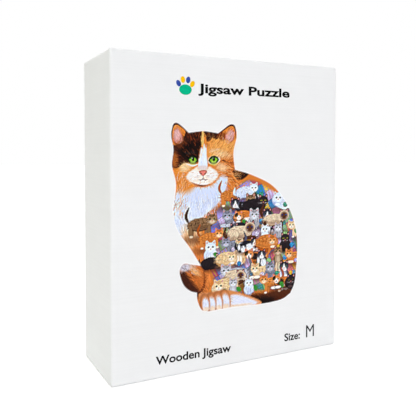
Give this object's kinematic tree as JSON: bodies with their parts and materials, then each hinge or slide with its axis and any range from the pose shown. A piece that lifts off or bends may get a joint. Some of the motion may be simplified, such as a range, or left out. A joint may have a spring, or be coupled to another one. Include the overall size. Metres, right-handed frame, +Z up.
{
  "type": "boxed jigsaw puzzle",
  "caption": "Upright lift-off-lid gift box in white wrapped board, with a printed cat picture, holding a bag of interlocking wooden puzzle pieces and a folded poster.",
  "frame": {"origin": "centre of the closed box's footprint, on the surface it stands on", "axes": "+Z up along the box's height, printed panel faces -Y, +X to the right as the printed panel is read"},
  "size_m": [0.176, 0.062, 0.21],
  "materials": {
    "printed_wrap": "matte",
    "plain_wrap": "matte",
    "grey_board": "matte",
    "stay_tape": "matte",
    "lining_paper": "matte",
    "bag_film": "gloss",
    "zip_plastic": "gloss",
    "poster_paper": "satin",
    "printed_plywood": "satin"
  },
  "bodies": {
    "tray": {"tray_board": "grey_board", "tray_corner_stays": "stay_tape", "tray_wrap": "plain_wrap", "tray_lining": "lining_paper"},
    "piece_bag": {"zip_bag_film": "bag_film", "zip_profile_male": "zip_plastic", "zip_profile_female": "zip_plastic", "pieces_row_01_middle": "printed_plywood", "pieces_row_02_left": "printed_plywood", "pieces_row_02_middle": "printed_plywood", "pieces_row_03_left": "printed_plywood", "pieces_row_03_middle": "printed_plywood", "pieces_row_04_left": "printed_plywood", "pieces_row_04_middle": "printed_plywood", "pieces_row_05_left": "printed_plywood", "pieces_row_05_middle": "printed_plywood", "pieces_row_06_left": "printed_plywood", "pieces_row_06_middle": "printed_plywood", "pieces_row_06_right": "printed_plywood", "pieces_row_07_left": "printed_plywood", "pieces_row_07_middle": "printed_plywood", "pieces_row_07_right": "printed_plywood", "pieces_row_08_left": "printed_plywood", "pieces_row_08_middle": "printed_plywood", "pieces_row_08_right": "printed_plywood", "pieces_row_09_left": "printed_plywood", "pieces_row_09_middle": "printed_plywood", "pieces_row_09_right": "printed_plywood", "pieces_row_10_left": "printed_plywood", "pieces_row_10_middle": "printed_plywood", "pieces_row_10_right": "printed_plywood", "pieces_row_11_left": "printed_plywood", "pieces_row_11_middle": "printed_plywood", "pieces_row_11_right": "printed_plywood", "pieces_row_12_left": "printed_plywood", "pieces_row_12_middle": "printed_plywood", "pieces_row_12_right": "printed_plywood", "pieces_row_13_left": "printed_plywood", "pieces_row_13_middle": "printed_plywood", "pieces_row_13_right": "printed_plywood", "pieces_row_14_left": "printed_plywood", "pieces_row_14_middle": "printed_plywood", "pieces_row_14_right": "printed_plywood", "pieces_row_15_left": "printed_plywood", "pieces_row_15_middle": "printed_plywood", "pieces_row_15_right": "printed_plywood"},
    "poster": {"reference_poster": "poster_paper"},
    "lid": {"lid_board": "grey_board", "lid_corner_stays": "stay_tape", "lid_wrap": "printed_wrap", "lid_lining": "lining_paper"}
  },
  "joints": [
    {"name": "bag_lift_out", "type": "slide", "parent": "tray", "child": "piece_bag", "axis": [0, -1, 0], "range_m": [0, 0.07]},
    {"name": "poster_lift_out", "type": "slide", "parent": "piece_bag", "child": "poster", "axis": [0, -1, 0], "range_m": [0, 0.06]},
    {"name": "lid_lift_off", "type": "slide", "parent": "poster", "child": "lid", "axis": [0, -1, 0], "range_m": [0, 0.15]}
  ]
}
